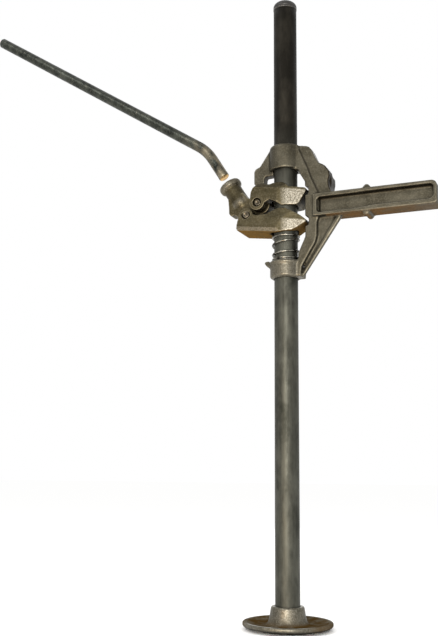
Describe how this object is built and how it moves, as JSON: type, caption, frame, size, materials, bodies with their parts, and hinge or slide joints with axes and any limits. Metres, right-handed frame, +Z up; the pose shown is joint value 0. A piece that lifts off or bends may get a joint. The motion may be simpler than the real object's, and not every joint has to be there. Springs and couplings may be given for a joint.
{
  "type": "car jack",
  "caption": "Round-post climbing car jack: dished foot, post, sliding C-shaped carriage with a side lifting arm, two friction clamps, rocking lever with socket and a bent handle bar.",
  "frame": {"origin": "centre of the foot's underside, on the ground", "axes": "+Z up along the post, +X along the lifting arm, -Y towards the side that shows the pin rings"},
  "size_m": [0.5851, 0.0968, 0.7479],
  "materials": {
    "cast": "satin",
    "post": "dull",
    "cap": "dull",
    "cast_frame": "satin",
    "spring": "satin",
    "clamp": "satin",
    "pin": "satin",
    "lever": "satin",
    "bar": "satin"
  },
  "bodies": {
    "post": {"base_plate": "cast", "post_tube": "post", "post_plug": "post", "top_cap": "cap"},
    "carriage": {"carriage_frame": "cast_frame", "return_spring": "spring", "spring_washer": "spring"},
    "lower_clamp_body": {"lower_clamp": "clamp", "lower_pin": "pin", "lower_pin_ring": "pin"},
    "upper_clamp_body": {"upper_clamp": "clamp", "upper_pin": "pin", "upper_pin_ring": "pin"},
    "lever_body": {"lever": "lever"},
    "handle": {"handle_bar": "bar"}
  },
  "joints": [
    {"name": "carriage_slide", "type": "slide", "parent": "post", "child": "carriage", "axis": [0, 0, 1], "range_m": [-0.35, 0.165]},
    {"name": "lower_clamp_tilt", "type": "hinge", "parent": "carriage", "child": "lower_clamp_body", "pos_m": [0.02746, 0, 0.44313], "axis": [0, -1, 0], "range_deg": [0, 5], "deforming": ["return_spring"]},
    {"name": "upper_clamp_tilt", "type": "hinge", "parent": "carriage", "child": "upper_clamp_body", "pos_m": [0.02759, 0, 0.47877], "axis": [0, 1, 0], "range_deg": [0, 1.2]},
    {"name": "lever_rock", "type": "hinge", "parent": "lower_clamp_body", "child": "lever_body", "pos_m": [-0.04249, 0, 0.45525], "axis": [0, -1, 0], "range_deg": [0, 11]},
    {"name": "handle_insert", "type": "slide", "parent": "lever_body", "child": "handle", "axis": [0.5358, 0, -0.8443], "range_m": [0, 0.039]}
  ],
  "couplings": [
    {"joint": "lower_clamp_tilt", "follows": "lever_rock", "ratio": 0.45455},
    {"joint": "upper_clamp_tilt", "follows": "lever_rock", "ratio": 0.10909}
  ]
}
